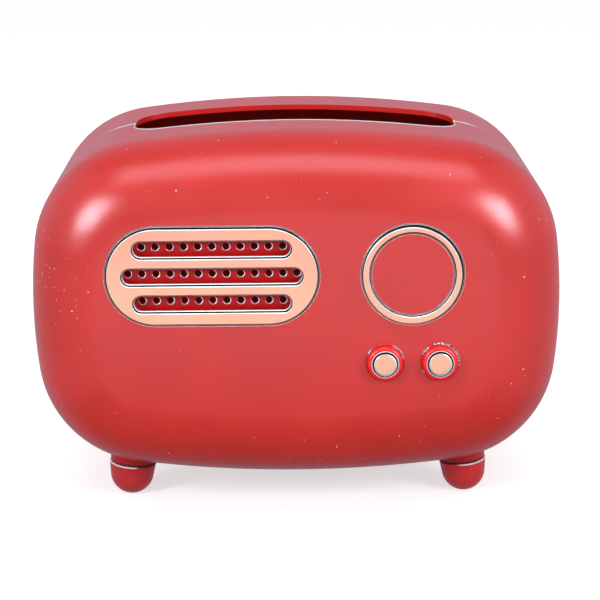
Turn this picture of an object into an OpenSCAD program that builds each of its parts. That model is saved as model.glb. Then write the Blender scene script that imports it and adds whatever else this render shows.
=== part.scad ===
// Radio-shaped box: two moulded half shells that push together, a grille plate and a
// dial ring let into the front, two turning knobs and four screwed-on feet.
// Millimetres. The front faces -Y, +Z is up, and the feet stand on Z = 0.

/* [Case] */
// Width of the case at its widest
case_w = 193; // [184:1:202]
// Height of the case at its tallest, without the feet
case_h = 128; // [122:1:134]
// Depth of the case, front face to back face
case_d = 130; // [118:1:142]
// Radius of the bulge along the top and the bottom
crown_r = 440; // [380:10:700]
// Radius of the bulge along the left and the right
flank_r = 196; // [176:2:280]
// Radius of the four corners, seen from the front
corner_r = 41.5; // [39:0.5:46]
// Rounding from the sides into the front and back faces
edge_r = 27.5; // [24:0.5:30]
// Thickness of the moulded wall
wall = 2; // [1.6:0.1:2.6]
// Chamfer on each shell where the two meet
seam_chamfer = 0.25; // [0.1:0.05:0.5]
// How far the rear shell's lip reaches into the front shell
lip_reach = 6; // [4:0.5:8]
// Thickness of that lip
lip_t = 1.2; // [1:0.1:1.6]

/* [Top slot] */
// Length of the slot
slot_l = 120; // [100:1:126]
// Width of the slot, half of it in each shell
slot_w = 35.2; // [28:0.2:37]
// Radius of the slot's four corners
slot_corner_r = 12; // [6:0.5:14]

/* [Grille] */
// Length of the grille plate
plate_l = 75.8; // [74:0.2:78]
// Height of the grille plate
plate_w = 35.8; // [34.6:0.2:37]
// Thickness of the grille plate
plate_t = 1.8; // [1.6:0.1:2.2]
// Middle of the grille plate, left of the middle of the case
plate_x = 29.8; // [28:0.2:32]
// Middle of the grille plate and of the dial ring, above the middle of the case
plate_z = 16.2; // [15:0.1:17]
// How far the plate and the ring stand out of the front face
trim_proud = 0.5; // [0.3:0.1:0.8]
// Bevel around the plate, its slots and the ring
trim_bevel = 0.5; // [0.3:0.1:0.6]
// Length of the top and bottom slots in the plate
short_slot_l = 55.4; // [54:0.2:57]
// Length of the middle slot in the plate
long_slot_l = 63.4; // [62:0.2:65]
// Height of each slot in the plate
grille_slot_w = 5.5; // [5:0.1:6]
// Distance from one slot to the next
grille_slot_pitch = 9.8; // [9.4:0.1:10]
// Depth of the sound channels below the front face
channel_depth = 4.5; // [3.5:0.1:5.5]
// Diameter of the sound holes
hole_d = 2.7; // [2.4:0.1:3]
// Distance from one sound hole to the next
hole_pitch = 5; // [4.6:0.1:5.2]

/* [Dial ring] */
// Middle of the ring, right of the middle of the case
ring_x = 41; // [39:0.2:43]
// Outer diameter of the ring
ring_od = 36.4; // [35:0.2:38]
// Inner diameter of the ring
ring_id = 29.6; // [28:0.2:31]

/* [Knobs] */
// Diameter of a knob at its base
knob_d = 13.2; // [12:0.1:14]
// How far a knob's rim stands out of the front face
knob_h = 3.4; // [3:0.1:5]
// Distance between the two knobs
knob_pitch = 19.6; // [17:0.2:24]
// Distance from the middle of the ring down to the knobs
knob_drop = 32; // [30:0.5:34]
// Diameter of the bright cap in a knob
cap_d = 8.8; // [8.2:0.1:9.4]
// Diameter of a knob's shaft
shaft_d = 5; // [4.5:0.1:6]

/* [Feet] */
// Middle of each foot, in from the side of the case
foot_side = 34; // [31:0.5:38]
// Middle of each foot, in from the front or back face
foot_face = 35.5; // [33:0.5:39]
// Diameter of a foot at its rim
foot_d = 17.6; // [16:0.2:19]
// Height of a foot below its rim
foot_h = 12.5; // [11:0.1:14]
// Angle by which the feet lean outwards
foot_tilt = 5; // [0:0.5:8]
// Taper of a foot's side
foot_taper = 7.5; // [5:0.5:9]
// Drop from the bottom of the case to the feet's rims
rim_drop = 0.2; // [0:0.1:1.5]

/* [Clearances] */
// Gap between the lip and the front shell, all round
lip_gap = 0.15; // [0.1:0.05:0.3]
// Gap around the grille plate and the dial ring in their recesses
trim_gap = 0.25; // [0.15:0.05:0.35]
// Gap around the trim's pegs in their holes
peg_gap = 0.05; // [0.03:0.01:0.1]
// Gap around a knob's shaft in its bush
shaft_gap = 0.05; // [0.03:0.01:0.08]
// End play of a knob, and its gap to the front face
knob_play = 0.2; // [0.1:0.05:0.4]
// Gap around the cap in its knob
cap_gap = 0.25; // [0.15:0.05:0.35]
// Gap around a foot's spigot in the case
spigot_gap = 0.1; // [0.05:0.05:0.2]
// Gap around a screw in the hole it holds in
thread_gap = 0.02; // [0.01:0.01:0.05]

/* [Hidden] */

$fn = 96;
// extra length that lets one cut run past the face it opens
lap = 1;

// --- case outline: eight arcs, each tangent to its neighbours ---
half_w = case_w / 2;
half_h = case_h / 2;
half_d = case_d / 2;
crown_cz = half_h - crown_r;
flank_cx = half_w - flank_r;
crown_reach = crown_r - corner_r;
flank_reach = flank_r - corner_r;
centre_gap = norm([flank_cx, crown_cz]);
along = (crown_reach ^ 2 - flank_reach ^ 2 + centre_gap ^ 2) / (2 * centre_gap);
aside = sqrt(crown_reach ^ 2 - along ^ 2);
corner_x = (flank_cx * along - crown_cz * aside) / centre_gap;
corner_z = crown_cz - (crown_cz * along + flank_cx * aside) / centre_gap;
// points beyond the outline, on the lines where two arcs meet
far_share = 1.3;
far = corner_r * far_share;
crown_far = [corner_x, corner_z] + far / crown_reach * [corner_x, corner_z - crown_cz];
flank_far = [corner_x, corner_z] + far / flank_reach * [corner_x - flank_cx, corner_z];
// inner radii of the arcs' rings, short of the middle of the case
flank_core_share = 0.75;
crown_core = crown_r - case_h;
flank_core = flank_r - case_w * flank_core_share;
crown_fn = 360;
flank_fn = 180;
corner_fn = 96;
edge_fn = 180;
bore_fn = 32;

// --- lip: its root inside the rear shell, and how the two bands overlap ---
lip_root = 4;
lip_root_start = 1;
lip_overlap = 2;
lip_slot_gap = 1;

// --- trim ---
pocket_depth = plate_t - trim_proud;
bed_margin = 2;
channel_gap = 0.3;
hole_edge = 0.3;
hole_margin = hole_d / 2 + hole_edge;
bed_depth = channel_depth + wall;
peg_d = 2.5;
peg_length = bed_depth - pocket_depth;
peg_inset = 1.5;
peg_x = plate_l / 2 - plate_w / 2 - peg_inset;
peg_z = (grille_slot_pitch + grille_slot_w / 2 + plate_w / 2) / 2;
ring_mid_d = (ring_od + ring_id) / 2;
ring_bed_depth = pocket_depth + wall;
ring_peg_d = 1.6;
ring_peg_length = ring_bed_depth - pocket_depth;
ring_pegs = 3;

// --- knobs, along their own axis, with 0 on the front face ---
knob_z = plate_z - knob_drop;
knob_round = 1.1;
knob_draft = 0.3;
cap_depth = 1.5;
cap_seat = knob_h - cap_depth;
cap_proud = 0.15;
cap_bevel = 0.6;
bush_d = 9;
bush_length = 4;
bush_end = wall + bush_length;
shaft_end = bush_end + knob_play;
knob_screw_d = 2;
knob_screw_length = 5;
knob_screw_head_d = 4.2;
knob_screw_head_h = 1.4;
washer_d = 9;
washer_t = 0.6;
washer_gap = 0.1;

// --- feet, along their own axis, with 0 at the rim ---
foot_x = half_w - foot_side;
foot_y = half_d - foot_face;
rim_z = half_h + rim_drop;
dome_r = (foot_d / 2 - foot_h * tan(foot_taper)) / (1 / cos(foot_taper) - tan(foot_taper));
dome_z = dome_r - foot_h;
foot_flat = 0.3;
foot_drop = dome_r - dome_z * cos(foot_tilt) - foot_flat;
neck_step = 0.6;
neck_d = foot_d - neck_step;
neck_chamfer = 0.4;
rim_chamfer = 0.3;
spigot_d = 8;
spigot_length = 3;
foot_boss_d = 9;
foot_boss_top = 8;
neck_top = 14;
foot_screw_d = 3;
foot_screw_length = 14;
foot_screw_head_d = 5.6;
foot_screw_head_h = 1.8;
foot_screw_clear = 0.2;

// --- screws: rounding of the head and the cross cut in it, as shares of the head ---
head_round = 0.4;
drive_length = 0.6;
drive_depth = 0.8;
drive_w = 0.7;

// --- where the case sits in the shared frame ---
case_z = rim_z + foot_drop;
seam_y = (knob_h + cap_proud) / 2;

paint = "#d4504e";
rose = "#f6bfa2";
steel = "#b9bcc0";

// ---------- shared shapes ----------

// moves a piece from the middle of the case to its place in the shared frame
module in_case() {
    translate([0, seam_y, case_z])
        children();
}

// turns a piece drawn along +Z so that it points out of the front face at x, z
module on_front(x, z) {
    translate([x, -half_d, z])
        rotate([90, 0, 0])
            children();
}

// puts a piece drawn along its own axis at one foot; sx and sy pick the foot
module at_foot(sx, sy) {
    translate([sx * foot_x, sy * foot_y, -rim_z])
        rotate([0, -sx * foot_tilt, 0])
            children();
}

// moves by v in coarse, fine and finest steps, so that long decimals stay exact
module exact_move(v) {
    coarse = [for (c = v) floor(c)];
    fine = [for (c = v - coarse) floor(c * 1000) / 1000];
    translate(coarse)
        translate(fine)
            translate(v - coarse - fine)
                children();
}

// section of the case from core out to radius r, with the front edge rounded
module case_section(core, r, depth, edge, start, chamfer) {
    polygon([
        [core, start],
        [r - chamfer, start],
        [r, start + chamfer],
        [r, depth - edge],
        [r - edge, depth - edge],
        [r - edge, depth],
        [core, depth]
    ]);
    translate([r - edge, depth - edge])
        intersection() {
            circle(edge, $fn = edge_fn);
            square(edge);
        }
}

// the share of the outline that belongs to one corner
module corner_cell() {
    polygon([
        [corner_x, corner_z],
        crown_far,
        [flank_far.x, crown_far.y],
        flank_far
    ]);
}

// the share of the outline that belongs to the bulge along the top
module crown_cell() {
    polygon([
        [0, 0],
        [corner_x, corner_z],
        crown_far,
        [-crown_far.x, crown_far.y],
        [-corner_x, corner_z]
    ]);
}

// the share of the outline that belongs to the bulge along the right
module flank_cell() {
    polygon([
        [0, 0],
        [corner_x, -corner_z],
        [flank_far.x, -flank_far.y],
        flank_far,
        [corner_x, corner_z]
    ]);
}

// half of the case as one solid, from the seam at Y = 0 towards the front
module half_case(inset, start, chamfer) {
    depth = half_d - inset;
    edge = edge_r - inset;
    rotate([90, 0, 0]) {
        for (sx = [0, 1], sz = [0, 1])
            mirror([sx, 0, 0])
                mirror([0, sz, 0])
                    intersection() {
                        exact_move([corner_x, corner_z, 0])
                            rotate_extrude($fn = corner_fn)
                                case_section(0, corner_r - inset, depth, edge, start, chamfer);
                        cell_block(depth, start)
                            corner_cell();
                    }
        for (sz = [0, 1])
            mirror([0, sz, 0])
                intersection() {
                    translate([0, crown_cz, 0])
                        rotate_extrude($fn = crown_fn)
                            case_section(crown_core, crown_r - inset, depth, edge, start, chamfer);
                    cell_block(depth, start)
                        crown_cell();
                }
        for (sx = [0, 1])
            mirror([sx, 0, 0])
                intersection() {
                    translate([flank_cx, 0, 0])
                        rotate_extrude($fn = flank_fn)
                            case_section(flank_core, flank_r - inset, depth, edge, start, chamfer);
                    cell_block(depth, start)
                        flank_cell();
                }
    }
}

// a prism on one cell, deep enough to cut a half case
module cell_block(depth, start) {
    translate([0, 0, start - lap])
        linear_extrude(depth - start + 2 * lap)
            children();
}

// the whole outline of the case, moved in by inset, as a flat shape in X and Z
module case_outline(inset) {
    for (sx = [0, 1], sz = [0, 1])
        mirror([sx, 0])
            mirror([0, sz])
                intersection() {
                    exact_move([corner_x, corner_z, 0])
                        circle(corner_r - inset, $fn = corner_fn);
                    corner_cell();
                }
    for (sz = [0, 1])
        mirror([0, sz])
            intersection() {
                translate([0, crown_cz])
                    circle(crown_r - inset, $fn = crown_fn);
                crown_cell();
            }
    for (sx = [0, 1])
        mirror([sx, 0])
            intersection() {
                translate([flank_cx, 0])
                    circle(flank_r - inset, $fn = flank_fn);
                flank_cell();
            }
}

// a band that follows the case outline between two insets and two depths
module case_band(outer_inset, inner_inset, y0, y1) {
    translate([0, y1, 0])
        rotate([90, 0, 0])
            linear_extrude(y1 - y0)
                difference() {
                    case_outline(outer_inset);
                    case_outline(inner_inset);
                }
}

// a bar with round ends, with its own section swept around it; +Z is outwards
module round_bar(length, width) {
    reach = (length - width) / 2;
    for (side = [0, 1])
        mirror([side, 0, 0])
            translate([reach, 0, 0])
                rotate(-90)
                    rotate_extrude(angle = 180)
                        children();
    for (side = [0, 1])
        mirror([0, side, 0])
            translate([-reach, 0, 0])
                rotate([90, 0, 90])
                    linear_extrude(2 * reach)
                        children();
}

// solid bar with round ends from z0 to z1, bevelled at z1
module bevelled_bar(length, width, z0, z1, bevel) {
    round_bar(length, width)
        polygon([
            [0, z0],
            [width / 2, z0],
            [width / 2, z1 - bevel],
            [width / 2 - bevel, z1],
            [0, z1]
        ]);
}

// cutter for a slot with round ends that flares towards z1
module flared_slot(length, width, z0, z1, flare) {
    round_bar(length, width)
        polygon([
            [0, z0 - lap],
            [width / 2, z0 - lap],
            [width / 2, z1 - flare],
            [width / 2 + flare + lap, z1 + lap],
            [0, z1 + lap]
        ]);
}

// length of each of the three slots, top to bottom
function row_length(row) = row == 0 ? long_slot_l : short_slot_l;

// number of sound holes in a row
function row_holes(row) = floor((row_length(row) - 2 * hole_margin) / hole_pitch) + 1;

// cutter for the top slot
module top_slot(extra) {
    straight_l = slot_l - 2 * slot_corner_r;
    straight_w = slot_w - 2 * slot_corner_r;
    r = slot_corner_r + extra;
    linear_extrude(half_h + lap) {
        square([straight_l + 2 * r, straight_w], center = true);
        square([straight_l, straight_w + 2 * r], center = true);
        for (sx = [-1, 1], sy = [-1, 1])
            translate([sx * straight_l / 2, sy * straight_w / 2])
                circle(r);
    }
}

// the stub that carries one foot, before the case is hollowed
module neck(sx, sy) {
    at_foot(sx, sy) {
        cylinder(h = neck_chamfer, r1 = neck_d / 2 - neck_chamfer, r2 = neck_d / 2);
        translate([0, 0, neck_chamfer])
            cylinder(h = neck_top - neck_chamfer, d = neck_d);
    }
}

// the bores in that stub: a socket for the foot and a hole for its screw
module neck_bores(sx, sy) {
    at_foot(sx, sy) {
        translate([0, 0, -lap])
            cylinder(h = spigot_length + spigot_gap + lap, d = spigot_d + 2 * spigot_gap);
        cylinder(h = neck_top + lap, d = foot_screw_d + 2 * foot_screw_clear);
    }
}

// half of the case, hollowed, with two feet stubs; drawn as the front half
module plain_shell() {
    difference() {
        union() {
            half_case(0, 0, seam_chamfer);
            neck(-1, -1);
            neck(1, -1);
        }
        half_case(wall, -lap, 0);
    }
    for (sx = [-1, 1])
        at_foot(sx, -1)
            translate([0, 0, spigot_length + wall])
                cylinder(h = foot_boss_top - spigot_length - wall, d = foot_boss_d);
}

// ---------- case ----------

// block behind the grille plate, with the recess, the sound channels and their holes
module grille_bed() {
    bevelled_bar(plate_l + 2 * bed_margin, plate_w + 2 * bed_margin, -bed_depth, -wall / 2, 0);
}

module grille_cuts() {
    recess_l = plate_l + 2 * trim_gap;
    recess_w = plate_w + 2 * trim_gap;
    bevelled_bar(recess_l, recess_w, -pocket_depth, lap, 0);
    for (row = [-1, 0, 1])
        translate([0, row * grille_slot_pitch, 0]) {
            channel_l = row_length(row) + 2 * channel_gap;
            channel_w = grille_slot_w + 2 * channel_gap;
            bevelled_bar(channel_l, channel_w, -channel_depth, lap, 0);
            for (i = [0 : row_holes(row) - 1])
                translate([(i - (row_holes(row) - 1) / 2) * hole_pitch, 0, -bed_depth - lap])
                    cylinder(h = bed_depth, d = hole_d, $fn = bore_fn);
        }
    for (sx = [-1, 1], sz = [-1, 1])
        translate([sx * peg_x, sz * peg_z, -bed_depth - lap])
            cylinder(h = bed_depth + lap, d = peg_d + 2 * peg_gap, $fn = bore_fn);
}

module ring_cuts() {
    difference() {
        translate([0, 0, -pocket_depth])
            cylinder(h = pocket_depth + lap, d = ring_od + 2 * trim_gap);
        translate([0, 0, -pocket_depth - lap])
            cylinder(h = pocket_depth + 3 * lap, d = ring_id - 2 * trim_gap);
    }
    ring_peg_places()
        translate([0, 0, -ring_bed_depth - lap])
            cylinder(h = ring_bed_depth + lap, d = ring_peg_d + 2 * peg_gap, $fn = bore_fn);
}

module ring_peg_places() {
    for (i = [0 : ring_pegs - 1])
        rotate(90 + i * 360 / ring_pegs)
            translate([ring_mid_d / 2, 0, 0])
                children();
}

module front_shell() {
    color(paint)
        in_case()
            difference() {
                union() {
                    plain_shell();
                    on_front(-plate_x, plate_z)
                        grille_bed();
                    on_front(ring_x, plate_z)
                        translate([0, 0, -ring_bed_depth])
                            cylinder(h = ring_bed_depth - wall / 2, d = ring_od + 2 * bed_margin);
                    for (side = [-1, 1])
                        on_front(ring_x + side * knob_pitch / 2, knob_z)
                            translate([0, 0, -bush_end])
                                cylinder(h = bush_end - wall / 2, d = bush_d);
                }
                on_front(-plate_x, plate_z)
                    grille_cuts();
                on_front(ring_x, plate_z)
                    ring_cuts();
                for (side = [-1, 1])
                    on_front(ring_x + side * knob_pitch / 2, knob_z)
                        translate([0, 0, -bush_end - lap])
                            cylinder(h = bush_end + 2 * lap, d = shaft_d + 2 * shaft_gap);
                neck_bores(-1, -1);
                neck_bores(1, -1);
                top_slot(0);
            }
}

module rear_shell() {
    color(paint)
        in_case()
            difference() {
                union() {
                    mirror([0, 1, 0])
                        plain_shell();
                    difference() {
                        union() {
                            case_band(wall - lip_gap, wall + lip_gap + lip_t, lip_root_start, lip_root);
                            case_band(wall + lip_gap, wall + lip_gap + lip_t, -lip_reach, lip_overlap);
                        }
                        top_slot(lip_slot_gap);
                    }
                }
                neck_bores(-1, 1);
                neck_bores(1, 1);
                top_slot(0);
            }
}

// ---------- trim ----------

module grille_plate() {
    color(rose)
        in_case()
            on_front(-plate_x, plate_z) {
                difference() {
                    bevelled_bar(plate_l, plate_w, -pocket_depth, trim_proud, trim_bevel);
                    for (row = [-1, 0, 1])
                        translate([0, row * grille_slot_pitch, 0])
                            flared_slot(row_length(row), grille_slot_w, -pocket_depth, trim_proud, trim_bevel);
                }
                for (sx = [-1, 1], sz = [-1, 1])
                    translate([sx * peg_x, sz * peg_z, -bed_depth])
                        cylinder(h = peg_length + lap / 2, d = peg_d, $fn = bore_fn);
            }
}

module dial_ring() {
    color(rose)
        in_case()
            on_front(ring_x, plate_z) {
                rotate_extrude()
                    polygon([
                        [ring_id / 2, -pocket_depth],
                        [ring_od / 2, -pocket_depth],
                        [ring_od / 2, trim_proud - trim_bevel],
                        [ring_od / 2 - trim_bevel, trim_proud],
                        [ring_id / 2 + trim_bevel, trim_proud],
                        [ring_id / 2, trim_proud - trim_bevel]
                    ]);
                ring_peg_places()
                    translate([0, 0, -ring_bed_depth])
                        cylinder(h = ring_peg_length + lap / 2, d = ring_peg_d, $fn = bore_fn);
            }
}

// ---------- knobs ----------

// places a piece on one knob's axis; side is -1 for the left knob and 1 for the right
module on_knob(side) {
    in_case()
        on_front(ring_x + side * knob_pitch / 2, knob_z)
            children();
}

module knob(side) {
    base_r = knob_d / 2;
    top_r = base_r - knob_draft;
    color(paint)
        on_knob(side)
            difference() {
                union() {
                    rotate_extrude() {
                        polygon([
                            [0, knob_play],
                            [base_r, knob_play],
                            [top_r, knob_h - knob_round],
                            [top_r - knob_round, knob_h - knob_round],
                            [top_r - knob_round, knob_h],
                            [0, knob_h]
                        ]);
                        translate([top_r - knob_round, knob_h - knob_round])
                            intersection() {
                                circle(knob_round);
                                square(knob_round);
                            }
                    }
                    translate([0, 0, -shaft_end])
                        cylinder(h = shaft_end + knob_play + lap / 2, d = shaft_d);
                }
                translate([0, 0, cap_seat])
                    cylinder(h = knob_h, d = cap_d + 2 * cap_gap);
                translate([0, 0, -shaft_end - lap])
                    cylinder(h = knob_screw_length + lap, d = knob_screw_d + 2 * thread_gap);
            }
}

module knob_cap(side) {
    color(rose)
        on_knob(side)
            rotate_extrude()
                polygon([
                    [0, cap_seat],
                    [cap_d / 2, cap_seat],
                    [cap_d / 2, knob_h + cap_proud - cap_bevel],
                    [cap_d / 2 - cap_bevel, knob_h + cap_proud],
                    [0, knob_h + cap_proud]
                ]);
}

module knob_washer(side) {
    color(steel)
        on_knob(side)
            translate([0, 0, -shaft_end - washer_t])
                difference() {
                    cylinder(h = washer_t, d = washer_d);
                    translate([0, 0, -lap])
                        cylinder(h = washer_t + 2 * lap, d = knob_screw_d + 2 * washer_gap);
                }
}

// pan-head screw along +Z: the head's seat is at 0 and the shank goes down
module screw(length, shank_d, head_d, head_h) {
    round_h = head_h * head_round;
    difference() {
        union() {
            translate([0, 0, -length])
                cylinder(h = length + head_h / 2, d = shank_d);
            cylinder(h = head_h - round_h, d = head_d);
            translate([0, 0, head_h - round_h])
                cylinder(h = round_h, d1 = head_d, d2 = head_d - 2 * round_h);
        }
        for (turn = [0, 90])
            rotate(turn)
                translate([-head_d * drive_length / 2, -drive_w / 2, head_h - drive_depth])
                    cube([head_d * drive_length, drive_w, drive_depth + lap]);
    }
}

module knob_screw(side) {
    color(steel)
        on_knob(side)
            translate([0, 0, -shaft_end - washer_t])
                rotate([180, 0, 0])
                    screw(knob_screw_length + washer_t - lap, knob_screw_d, knob_screw_head_d, knob_screw_head_h);
}

// ---------- feet ----------

module foot(sx, sy) {
    tangent_r = dome_r * cos(foot_taper);
    tangent_z = dome_z - dome_r * sin(foot_taper);
    color(paint)
        in_case()
            difference() {
                at_foot(sx, sy)
                    difference() {
                        union() {
                            rotate_extrude() {
                                polygon([
                                    [0, 0],
                                    [foot_d / 2 - rim_chamfer, 0],
                                    [foot_d / 2, -rim_chamfer],
                                    [tangent_r, tangent_z],
                                    [0, tangent_z - dome_r / 2]
                                ]);
                                intersection() {
                                    translate([0, dome_z])
                                        circle(dome_r);
                                    translate([0, tangent_z - 2 * dome_r])
                                        square([dome_r, 2 * dome_r]);
                                }
                            }
                            translate([0, 0, -lap])
                                cylinder(h = spigot_length + lap, d = spigot_d);
                        }
                        translate([0, 0, foot_boss_top - foot_screw_length - lap / 2])
                            cylinder(h = foot_screw_length, d = foot_screw_d + 2 * thread_gap);
                    }
                translate([0, 0, -case_z - foot_d])
                    cube([case_w, case_d, 2 * foot_d], center = true);
            }
}

module foot_screw(sx, sy) {
    color(steel)
        in_case()
            at_foot(sx, sy)
                translate([0, 0, foot_boss_top])
                    screw(foot_screw_length, foot_screw_d, foot_screw_head_d, foot_screw_head_h);
}

// ---------- one line per node ----------

front_shell();
rear_shell();
grille_plate();
dial_ring();
knob(-1);  // knob_left
knob(1);  // knob_right
knob_cap(-1);  // knob_cap_left
knob_cap(1);  // knob_cap_right
knob_washer(-1);  // knob_washer_left
knob_washer(1);  // knob_washer_right
knob_screw(-1);  // knob_screw_left
knob_screw(1);  // knob_screw_right
foot(-1, -1);  // foot_front_left
foot(1, -1);  // foot_front_right
foot(-1, 1);  // foot_rear_left
foot(1, 1);  // foot_rear_right
foot_screw(-1, -1);  // foot_screw_front_left
foot_screw(1, -1);  // foot_screw_front_right
foot_screw(-1, 1);  // foot_screw_rear_left
foot_screw(1, 1);  // foot_screw_rear_right
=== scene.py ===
import math
from functools import partialmethod

import bmesh
import bpy
from bpy.props import FloatProperty, FloatVectorProperty, IntProperty, PointerProperty
from mathutils import Matrix, Vector


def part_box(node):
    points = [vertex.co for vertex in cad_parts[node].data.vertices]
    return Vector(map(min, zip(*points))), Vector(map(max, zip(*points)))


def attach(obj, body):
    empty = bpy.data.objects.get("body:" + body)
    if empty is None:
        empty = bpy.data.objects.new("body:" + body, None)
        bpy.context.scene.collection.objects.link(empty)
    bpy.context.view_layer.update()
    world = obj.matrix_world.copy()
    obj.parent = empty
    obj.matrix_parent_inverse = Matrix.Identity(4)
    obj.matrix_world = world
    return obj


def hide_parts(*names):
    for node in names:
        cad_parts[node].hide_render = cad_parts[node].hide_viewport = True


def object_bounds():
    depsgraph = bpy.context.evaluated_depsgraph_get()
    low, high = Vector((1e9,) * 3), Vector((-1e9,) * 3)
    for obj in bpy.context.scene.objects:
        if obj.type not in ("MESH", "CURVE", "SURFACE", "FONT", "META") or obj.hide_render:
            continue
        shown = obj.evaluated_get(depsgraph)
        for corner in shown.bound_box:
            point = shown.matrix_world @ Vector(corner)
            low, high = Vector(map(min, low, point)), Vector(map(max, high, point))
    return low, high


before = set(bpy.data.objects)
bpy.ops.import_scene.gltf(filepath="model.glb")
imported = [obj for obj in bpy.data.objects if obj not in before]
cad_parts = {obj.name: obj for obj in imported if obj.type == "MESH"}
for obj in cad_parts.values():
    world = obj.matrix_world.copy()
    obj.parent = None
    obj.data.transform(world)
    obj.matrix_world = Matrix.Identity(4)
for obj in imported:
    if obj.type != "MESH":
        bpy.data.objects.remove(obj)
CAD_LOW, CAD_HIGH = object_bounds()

bl_info = {
    "name": "Radio-shaped box",
    "version": (1, 0, 0),
    "blender": (4, 5, 0),
    "location": "View3D > Sidebar > Radio box",
    "description": "Finishes, trim and stage for a moulded box shaped like a radio",
    "category": "Add Mesh",
}

FRONT_LOW, FRONT_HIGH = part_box("front_shell")
PLATE_LOW, PLATE_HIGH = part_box("grille_plate")
RING_LOW, RING_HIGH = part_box("dial_ring")
SHELLS = ("front_shell", "rear_shell")
KNOBS = ("knob_left", "knob_right")
CAPS = ("knob_cap_left", "knob_cap_right")
FEET = ("foot_front_left", "foot_front_right", "foot_rear_left", "foot_rear_right")
FOOT_SCREWS = tuple(foot.replace("foot", "foot_screw") for foot in FEET)
KNOB_FIXINGS = ("knob_screw_left", "knob_screw_right", "knob_washer_left", "knob_washer_right")
PLATE_MIDDLE = (PLATE_LOW + PLATE_HIGH) / 2
PLATE_HALF = (PLATE_HIGH - PLATE_LOW) / 2
RING_MIDDLE = (RING_LOW + RING_HIGH) / 2
SEAM_Y = FRONT_HIGH.y
FRONT_Y = FRONT_LOW.y
# the middle of the case, half its height below its top
CASE_Z = CAD_HIGH.z - 0.064
# what faces up above this height is the top of the case
TOP_Z = CASE_Z + 0.052
# the depths between which the recess behind the grille plate lies
RECESS_FRONT, RECESS_BACK = FRONT_Y + 0.0008, FRONT_Y + 0.012
# how far the middle of each painted line is from the parting line, the highlight behind it and the shade
# before it
PARTING_OFFSET = 0.0007
ROUND_STEPS = 96
# vertices closer than this become one
WELD = 1e-6
# a step that keeps two faces out of one plane
HAIR = 0.00002
# where the collar round each knob gets a painted highlight, in degrees from +X
BRIGHT_ARCS = {"left_knob": ((12, 67), (131, 153)), "right_knob": ((-12, 108), (129, 152), (-157, -148))}


# ---- properties


def length(name, description, default):
    """A size in metres."""
    return FloatProperty(name=name, description=description, default=default, unit="LENGTH", precision=5)


def angle(name, description, degrees):
    """An angle, given in degrees and kept in radians."""
    return FloatProperty(name=name, description=description, default=math.radians(degrees), subtype="ANGLE")


def tint(name, description, default):
    """A linear colour."""
    return FloatVectorProperty(
        name=name, description=description, default=default, size=3, subtype="COLOR", min=0, max=1
    )


def share(name, description, default):
    """A number from 0 to 1."""
    return FloatProperty(name=name, description=description, default=default, min=0, max=1, subtype="FACTOR")


def power(name, description, default):
    """The power of a lamp, in watts."""
    return FloatProperty(name=name, description=description, default=default, unit="POWER")


def count(name, description, default):
    """A number of like things."""
    return IntProperty(name=name, description=description, default=default, min=1)


class CaseSizes(bpy.types.PropertyGroup):
    """Sizes of the two half shells, for the highlight and shade lines painted on them."""

    slot_length: length("Slot length", "Length of the slot in the top", 0.12)
    slot_width: length("Slot width", "Width of the slot in the top", 0.0352)
    slot_corner: length("Slot corner", "Radius of the slot's corners", 0.012)
    # the bright parting line is a painted highlight
    seam_line: length("Seam line", "How far the bright parting line runs past the slot", 0.0125)


class MouldingLook(bpy.types.PropertyGroup):
    """Finish of the red mouldings, with the highlights and shade painted on them."""

    red: tint("Red", "Moulded-in red of the case", (0.592, 0.027, 0.02))
    deep_red: tint("Deep red", "Red of the feet", (0.6, 0.022, 0.024))
    knob_red: tint("Knob red", "Brighter red of the two knobs", (0.86, 0.015, 0.012))
    # painted light: the slot's wall is drawn brighter and redder than the case
    lit_wall_red: tint("Lit wall red", "Red of the thin wall seen in the slot", (0.64, 0.016, 0.012))
    # painted shade in the channels and on the necks above the feet
    shaded_red: tint("Shaded red", "Red of the channels and of the necks above the feet", (0.46, 0.005, 0.006))
    # painted shadow in the gap between a foot and the case
    gap_shadow: tint("Gap shadow", "Dark gap between a foot and the case", (0.012, 0.001, 0.001))
    # painted shade: a dark line in front of the bright parting line
    seam_shade: tint("Seam shade", "Dark line beside the bright parting line", (0.02, 0.002, 0.002))
    roughness: share("Roughness", "Satin of the moulding", 0.3)
    channel_gloss: share("Channel gloss", "Gloss of the sound channels, 0.5 being usual", 0.2)
    # painted highlight: a pale line mixed into the colour where a surface turns over an edge
    edge_highlight: tint("Edge highlight", "Pale line along an edge", (0.9, 0.95, 0.94))
    edge_width: length("Edge width", "Width of that pale line", 0.00032)
    # the painted edge highlight fades out this far from the middle
    seam_reach: length("Seam reach", "How far from the middle the pale line still shows", 0.082)
    # painted highlight: the bright line at a foot's rim
    rim_highlight: tint("Rim highlight", "Bright line at the rim of a foot", (0.97, 0.96, 0.93))
    fleck: tint("Fleck", "Colour of the dust flecks", (0.8, 0.66, 0.6))
    fleck_size: length("Fleck size", "Radius of a dust fleck", 0.00025)
    fleck_gap: length("Fleck gap", "Usual distance between two flecks", 0.004)
    swarm: length("Swarm", "Radius of the spot at the left end where the flecks crowd", 0.021)
    # painted highlight: the pale band along the front of the slot
    edge_band: length("Edge band", "Width of the pale band along the front of the slot", 0.0017)


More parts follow.
